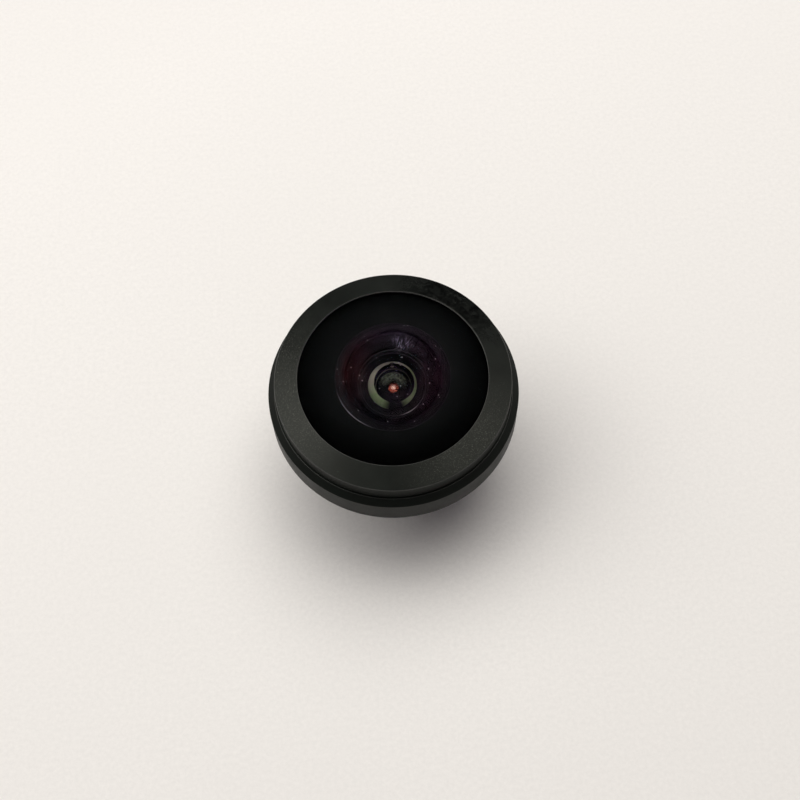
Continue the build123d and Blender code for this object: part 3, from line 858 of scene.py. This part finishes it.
class LENS_OT_main_barrel(bpy.types.Operator):
    """Head, neck and tube turned from one black bar"""

    bl_idname = "lens.main_barrel"
    bl_label = "Main barrel"

    def execute(self, context):
        h, t = context.scene.lens_head, context.scene.lens_thread
        root = t.radius - t.depth
        wall_top = h.foot + h.wall
        shoulder_top = wall_top + h.shoulder
        seat = dome.foot - SEAT_HAIR
        second = round_node("inner_retaining_ring").foot - SEAT_HAIR
        stack = round_node("second_element_shield").foot - SEAT_HAIR
        lip_top, lip_foot = round_node("doublet_spacer").foot, round_node("filter_gasket").top
        corners = [
            (RECESS_BORE, 0.0, h.edge),
            (NOSE_RADIUS - NOSE_CHAMFER, 0.0, h.inner_edge),
            (NOSE_RADIUS, NOSE_CHAMFER, h.inner_edge),
            (NOSE_RADIUS, NOSE_TOP),
            (root, NOSE_TOP + root - NOSE_RADIUS),
            (root, RUN_OUT_TOP),
            (NECK_RADIUS, NECK_FOOT),
            (NECK_RADIUS, h.foot, h.edge),
            (h.radius - HEAD_FOOT_CHAMFER, h.foot, h.edge),
            (h.radius, h.foot + HEAD_FOOT_CHAMFER, h.edge),
            (h.radius, wall_top, h.edge),
            (h.radius - h.shoulder, shoulder_top, h.edge),
            (h.collar, shoulder_top),
            (h.collar, COLLAR_TOP, h.inner_edge),
            (GLASS_BORE, COLLAR_TOP, h.inner_edge),
            (GLASS_BORE, SEAL_GROOVE_FLOOR),
            (SEAL_GROOVE, SEAL_GROOVE_FLOOR),
            (SEAL_GROOVE, seat, h.inner_edge),
            (INNER_RING_BORE, seat, h.inner_edge),
            (INNER_RING_BORE, second),
            (SECOND_BORE, second, h.inner_edge),
            (SECOND_BORE, stack),
            (STACK_BORE, stack, h.inner_edge),
            (STACK_BORE, lip_top),
            (REAR_LIP_BORE, lip_top, h.inner_edge),
            (REAR_LIP_BORE, lip_foot, h.inner_edge),
            (RECESS_BORE, lip_foot),
        ]
        piece = turned_piece("main_barrel_turned", corners, {"metal": metal(), "edge": worn_and_highlit_edge()}, 256)
        finish_piece(piece, "main_barrel")
        return {"FINISHED"}


class LENS_OT_thread(bpy.types.Operator):
    """Helical thread on the tube"""

    bl_idname = "lens.thread"
    bl_label = "Thread"

    def execute(self, context):
        s = context.scene.lens_thread
        values = {
            "Crest Radius": s.radius,
            "Root Radius": s.radius - s.depth - RIDGE_SINK,
            "Pitch": s.pitch,
            "Crest Width": s.crest,
            "Root Width": s.crest + 2 * s.depth * math.tan(FLANK_ANGLE),
            "Foot": RIDGE_FOOT,
            "Turns": (RIDGE_TOP - RIDGE_FOOT) / s.pitch,
            "Steps": s.steps,
            "Lead Radius": NOSE_RADIUS,
            "Lead Foot": NOSE_TOP,
            "Run Out Foot": RUN_OUT_FOOT,
            "Run Out Slope": RUN_OUT_SLOPE,
            "Material": metal(),
        }
        piece = grown("barrel_thread", thread_tree(values), values)
        finish_piece(piece, "main_barrel")
        return {"FINISHED"}


class LENS_OT_front_ring(bpy.types.Operator):
    """Black front ring with its sloping face"""

    bl_idname = "lens.front_ring"
    bl_label = "Front ring"

    def execute(self, context):
        h = context.scene.lens_head
        outer, foot = front_ring.least, front_ring.foot
        corners = [
            (RING_BORE, foot),
            (outer - RING_EDGE, foot),
            (outer, foot + RING_EDGE),
            (outer, foot + h.ring_wall, RING_EDGE, "face"),
            (h.opening, front_ring.top, h.inner_edge, "lip"),
            (h.opening, LIP_INSIDE),
            (dome.radius, LIP_FOOT),
            (RING_BORE, LIP_FOOT),
        ]
        finishes = {
            "metal": metal(),
            # the face carries rubbed patches with painted shade, and a painted sheen on its near right
            "face": anodised_finish("ring face", colour_of("anodised"), 0.32, 0.20, scuffed_and_painted_light=True),
            "edge": worn_and_highlit_edge(),
            # the lip is paler still, a painted highlight along its edge
            "lip": worn_and_highlit_edge("anodised lip", 2.4),
        }
        piece = turned_piece("front_ring_turned", corners, finishes, segments=320)
        finish_piece(piece, "front_ring")
        return {"FINISHED"}


class LENS_OT_front_glass(bpy.types.Operator):
    """Domed front glass with its deep bowl and inked rim"""

    bl_idname = "lens.front_glass"
    bl_label = "Front glass"

    def execute(self, context):
        g = context.scene.lens_glass
        radius, seat = dome.least, dome.foot
        rim_bevel, bowl_bevel = RIM_BEVEL * MM, BOWL_BEVEL * MM
        edge_top = dome.top - (g.dome_sphere - math.sqrt(g.dome_sphere**2 - radius**2))
        bowl_apex = seat + g.bowl_sphere - math.sqrt(g.bowl_sphere**2 - g.bowl_radius**2)
        corners = [
            (0.0, dome.top, 0.0, "dome", g.dome_sphere),
            (radius, edge_top, 0.0, "ink"),
            (radius, seat + rim_bevel, 0.0, "ink"),
            (radius - rim_bevel, seat, 0.0, "ink"),
            (g.bowl_radius + bowl_bevel, seat, 0.0, "bevel"),
            (g.bowl_radius, seat + bowl_bevel, 0.0, "bowl", g.bowl_sphere),
            (0.0, bowl_apex, 0.0, "bowl"),
        ]
        bowl_tint = colour_of("bowl_tint")
        finishes = {
            "dome": coated_glass("coated dome glass", DENSE_GLASS, colour_of("dome_tint"), dust_and_reflection=dust),
            # the bowl carries a painted reflection and dust
            "bowl": coated_glass(
                "coated bowl glass", DENSE_GLASS, bowl_tint, dust_and_reflection=bowl_reflection_and_dust, inward=(0.62, 0.55, 0.62)
            ),
            # the bowl bevel's pale stretch at the lower left is a painted highlight
            "bevel": ground_edge("ground bevel", (0.34, 0.31, 0.36), BARE_BOWL_HIGHLIGHT),
            "ink": ink(),
        }
        piece = turned_piece("front_glass", corners, finishes, segments=320)
        finish_piece(piece, "front_element")
        return {"FINISHED"}


def element_corners(rim, top, foot, front, rear):
    """Section of a polished element, from a row of ELEMENTS."""

    def rise(sphere, radius):
        return math.copysign(abs(sphere) - math.sqrt(sphere**2 - radius**2), sphere)

    bevelled = [
        (front[1], top, "edge", 0.0),
        (front[1] + GROUND_BEVEL, top, "ink", 0.0),
        (rim - RIM_BEVEL, top, "ink", 0.0),
        (rim, top - RIM_BEVEL, "ink", 0.0),
    ]
    plan = [
        (0.0, top + rise(*front), "top", front[0]),
        *(bevelled if front[1] < rim else [(rim, top, "ink", 0.0)]),
        (rim, foot + RIM_BEVEL, "ink", 0.0),
        (rim - RIM_BEVEL, foot, "ink", 0.0),
        (rear[1], foot, "foot", rear[0]),
        (0.0, foot + rise(*rear), "foot", 0.0),
    ]
    return [(radius * MM, height * MM, 0.0, finish, sphere * MM) for radius, height, finish, sphere in plan]


class LENS_OT_inner_elements(bpy.types.Operator):
    """Second to sixth elements"""

    bl_idname = "lens.inner_elements"
    bl_label = "Inner elements"

    def execute(self, context):
        front = coated_glass("second element glass", LIGHT_GLASS, WEAK_MIRROR)
        # the ground zone carries a painted reflection and painted shade
        hollow = coated_glass("second element bowl glass", LIGHT_GLASS, WEAK_MIRROR, dust_and_reflection=rim_with_painted_reflection)
        third = coated_glass("third element glass", MIDDLE_GLASS, WEAK_MIRROR, dust_and_reflection=third_painted_reflection)
        inner = coated_glass("inner element glass", MIDDLE_GLASS, WEAK_MIRROR)
        # the pupil's mirror tint is pale in the middle, a painted highlight
        pupil_mirror = coated_glass("red coated glass", MIDDLE_GLASS, pupil_tone, mirrored=0.22)
        dark = ink()
        # the pale stretch of this bevel is a painted highlight
        bevel = ground_edge("second element bevel", (0.80, 0.78, 0.80), BARE_SECOND_HIGHLIGHT)
        looks = {
            "second_element": (front, hollow, bevel, 192),
            "third_element": (third, inner, dark, 192),
            "fourth_element": (pupil_mirror, inner, dark, 192),
            "fifth_element": (inner, inner, dark, 192),
            "sixth_element": (inner, inner, dark, 128),
        }
        for node, (top, foot, edge, segments) in looks.items():
            finishes = {"top": top, "foot": foot, "ink": dark, "edge": edge}
            piece = turned_piece(node + "_polished", element_corners(*ELEMENTS[node]), finishes, segments)
            finish_piece(piece, node)
        return {"FINISHED"}


class LENS_OT_inner_rings(bpy.types.Operator):
    """Spacers, washers, stop and gasket, and the finish of the retaining rings and the seal"""

    bl_idname = "lens.inner_rings"
    bl_label = "Inner rings"

    def execute(self, context):
        spacer = anodised_finish("spacer black", shade(colour_of("anodised"), 0.8), 0.5, 0.08)
        film = plain_finish("black film", colour_of("film"), 0.6, 12000.0, 0.001 * MM, 0.2)
        rubber = plain_finish("seal rubber", colour_of("rubber"), 0.7, 8000.0, 0.004 * MM, 0.3)
        rings = [
            ("second_element_shield", 2.95 * MM, film, "black_film"),
            ("front_spacer", 3.0 * MM, spacer, "black_spacer"),
            ("third_element_shield", 2.55 * MM, film, "black_film"),
            ("middle_spacer", 2.6 * MM, spacer, "black_spacer"),
            ("aperture_stop", context.scene.lens_glass.stop_radius, film, "black_film"),
            ("stop_spacer", 2.0 * MM, spacer, "black_spacer"),
            ("rear_spacer", 2.0 * MM, spacer, "black_spacer"),
            ("doublet_spacer", 2.9 * MM, spacer, "black_spacer"),
            ("filter_gasket", 3.15 * MM, rubber, "seal_rubber"),
        ]
        hair = 0.003 * MM
        for node, bore, material, slot in rings:
            cad = round_node(node)
            corners = flat_ring(bore, cad.radius, cad.foot + hair, cad.top - hair)
            piece = turned_piece(node + "_turned", corners, {"metal": material}, segments=128)
            finish_piece(piece, node)
        black = metal()
        # these three are shown by their CAD meshes
        shown = {"front_seal": rubber, "inner_retaining_ring": black, "rear_retaining_ring": black}
        for node, material in shown.items():
            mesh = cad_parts[node].data
            mesh.materials.clear()
            mesh.materials.append(material)
        return {"FINISHED"}


class LENS_OT_infrared_filter(bpy.types.Operator):
    """Plane filter glass at the rear"""

    bl_idname = "lens.infrared_filter"
    bl_label = "Infrared filter"

    def execute(self, context):
        cad = round_node("infrared_filter")
        edge = 0.02 * MM
        corners = [(0.0, cad.top), (cad.radius, cad.top, edge), (cad.radius, cad.foot, edge), (0.0, cad.foot)]
        glass = coated_glass("infrared filter glass", LIGHT_GLASS, (1.0, 0.35, 0.25))
        piece = turned_piece("infrared_filter_polished", corners, {"metal": glass}, segments=128)
        finish_piece(piece, "infrared_filter")
        return {"FINISHED"}


class LENS_OT_lock_ring(bpy.types.Operator):
    """Knurled lock ring and its washer"""

    bl_idname = "lens.lock_ring"
    bl_label = "Lock ring and washer"

    def execute(self, context):
        s = context.scene.lens_lock_ring
        foot, top, edge, black = lock_ring.foot, lock_ring.top, 0.02 * MM, metal()
        corners = [
            (LOCK_BORE + s.chamfer, foot, edge),
            (LOCK_CORE, foot),
            (LOCK_CORE, top),
            (LOCK_BORE + s.chamfer, top, edge),
            (LOCK_BORE, top - s.chamfer, edge),
            (LOCK_BORE, foot + s.chamfer, edge),
        ]
        core = turned_piece("lock_ring_core", corners, {"metal": black})
        finish_piece(core, "lock_ring", "ring_body")
        values = {
            "Radius": s.radius,
            "Inner Radius": LOCK_CORE - 0.01 * MM,
            "Foot": foot,
            "Height": top - foot,
            "Chamfer": s.chamfer,
            "Groove": s.groove,
            "Count": s.grooves,
            "Material": black,
        }
        rim = grown("lock_ring_knurl", knurl_tree(values), values)
        finish_piece(rim, "lock_ring", "ring_body")
        nylon = plain_finish("black nylon", colour_of("nylon"), 0.48, 5200.0, 0.004 * MM, 0.35)
        corners = flat_ring(WASHER_BORE, washer.least, washer.foot, washer.top, 0.04 * MM)
        piece = turned_piece("lock_washer_turned", corners, {"metal": nylon})
        finish_piece(piece, "lock_washer", "washer_body")
        return {"FINISHED"}


def soft_sky(s):
    """A dim room with two soft windows, shaded beside the camera, and a pale backdrop round the horizon."""
    world = bpy.data.worlds.new("soft sky")
    world.use_nodes = True
    sky = Nodes(world.node_tree)
    sky.tree.nodes.clear()
    toward = sky.add("ShaderNodeTexCoord").outputs["Generated"]

    def patch(side, height, edge, middle, at_edge, at_middle):
        """Brightness of a round patch of sky, between two cosines of the angle from its middle."""
        side, height = math.radians(side), math.radians(height)
        flat = math.cos(height)
        dot = sky.add("ShaderNodeVectorMath", operation="DOT_PRODUCT")
        sky.fill(dot.inputs, toward, (flat * math.cos(side), flat * math.sin(side), math.sin(height)))
        return sky.spread(dot.outputs["Value"], edge, middle, at_edge, at_middle)

    def lamp(tone, strength):
        return sky.made("ShaderNodeBackground", tone, strength)

    side_window = patch(168.0, 53.0, 0.84, 1.0, 0.0, s.side_window)
    top_window = patch(78.0, 70.0, 0.84, 1.0, 0.0, s.top_window)
    shaded = patch(242.0, 78.0, 0.92, 0.985, 1.0, 0.2)
    windows = lamp((1.0, 0.99, 0.965), sky.times(sky.plus(side_window, top_window), shaded))
    room = lamp((1.0, 0.83, 1.08), s.sky)
    # the backdrop is seen, mirrored and refracted, but sheds no diffuse light
    ray = sky.add("ShaderNodeLightPath").outputs
    seen = sky.plus(sky.plus(ray["Is Camera Ray"], ray["Is Glossy Ray"]), ray["Is Transmission Ray"])
    band = patch(0.0, 90.0, 0.48, 0.16, 0.0, s.backdrop)
    backdrop = lamp((1.0, 0.985, 0.96), sky.times(seen, band))
    light = sky.made("ShaderNodeAddShader", windows, room)
    sky.named("ShaderNodeOutputWorld", Surface=sky.made("ShaderNodeAddShader", light, backdrop))
    return world


def paper_floor():
    """A wide sheet of paper just under the lens."""
    half_side, drop = 0.6, 0.01 * MM
    mesh = bpy.data.meshes.new("paper_floor")
    bm = bmesh.new()
    bmesh.ops.create_grid(bm, x_segments=8, y_segments=8, size=half_side)
    bmesh.ops.translate(bm, verts=bm.verts, vec=(0.0, 0.0, -drop))
    bm.to_mesh(mesh)
    bm.free()
    mesh.materials.append(paper_finish("paper", colour_of("paper")))
    return new_piece("paper_floor", mesh)


def view_camera(s):
    """A camera that looks down at the opening, rolled a little, and aimed a little beside its centre."""
    camera = new_piece("camera", bpy.data.cameras.new("camera"))
    camera.data.lens, camera.data.sensor_width = s.focal, SENSOR
    camera.data.clip_start, camera.data.clip_end = 0.01, 10.0
    back = Vector((0.0, -math.cos(s.elevation), math.sin(s.elevation)))
    camera.location = Vector((0.0, 0.0, front_ring.top)) + back * s.distance
    ahead = -back
    level = ahead.cross(Vector((0.0, 0.0, 1.0))).normalized()
    upright = level.cross(ahead)
    right = math.cos(s.roll) * level - math.sin(s.roll) * upright
    up = math.cos(s.roll) * upright + math.sin(s.roll) * level
    pixel = SENSOR / PICTURE / s.focal
    ahead = (ahead + right * AIM_RIGHT * pixel - up * AIM_DOWN * pixel).normalized()
    right = (right - ahead * right.dot(ahead)).normalized()
    up = right.cross(ahead)
    camera.rotation_euler = Matrix((right, up, -ahead)).transposed().to_euler()
    return camera


class LENS_OT_stage(bpy.types.Operator):
    """Paper floor, soft sky and the camera"""

    bl_idname = "lens.stage"
    bl_label = "Stage"

    def execute(self, context):
        scene = context.scene
        paper_floor()
        scene.world = soft_sky(scene.lens_stage)
        scene.view_settings.view_transform = "Standard"
        scene.camera = view_camera(scene.lens_stage)
        return {"FINISHED"}


class LENS_PT_sidebar(bpy.types.Panel):
    """Lists the lens's pieces"""

    bl_idname = "LENS_PT_sidebar"
    bl_label = "Board Lens"
    bl_space_type = "VIEW_3D"
    bl_region_type = "UI"
    bl_category = "Board Lens"

    def draw(self, context):
        for operator in OPERATORS:
            self.layout.operator(operator.bl_idname)


OPERATORS = (
    LENS_OT_main_barrel,
    LENS_OT_thread,
    LENS_OT_front_ring,
    LENS_OT_front_glass,
    LENS_OT_inner_elements,
    LENS_OT_inner_rings,
    LENS_OT_infrared_filter,
    LENS_OT_lock_ring,
    LENS_OT_stage,
)
GROUPS = {
    "lens_head": HeadSizes,
    "lens_glass": GlassSizes,
    "lens_thread": ThreadSizes,
    "lens_lock_ring": LockRingSizes,
    "lens_colours": FinishColours,
    "lens_stage": StageSettings,
}


def register():
    for name, group in GROUPS.items():
        bpy.utils.register_class(group)
        setattr(bpy.types.Scene, name, PointerProperty(type=group))
    for item in (*OPERATORS, LENS_PT_sidebar):
        bpy.utils.register_class(item)


def unregister():
    for item in (LENS_PT_sidebar, *reversed(OPERATORS)):
        bpy.utils.unregister_class(item)
    for name, group in GROUPS.items():
        delattr(bpy.types.Scene, name)
        bpy.utils.unregister_class(group)


def main():
    register()
    for operator in OPERATORS:
        group, name = operator.bl_idname.split(".")
        getattr(getattr(bpy.ops, group), name)()


if __name__ == "__main__":
    main()
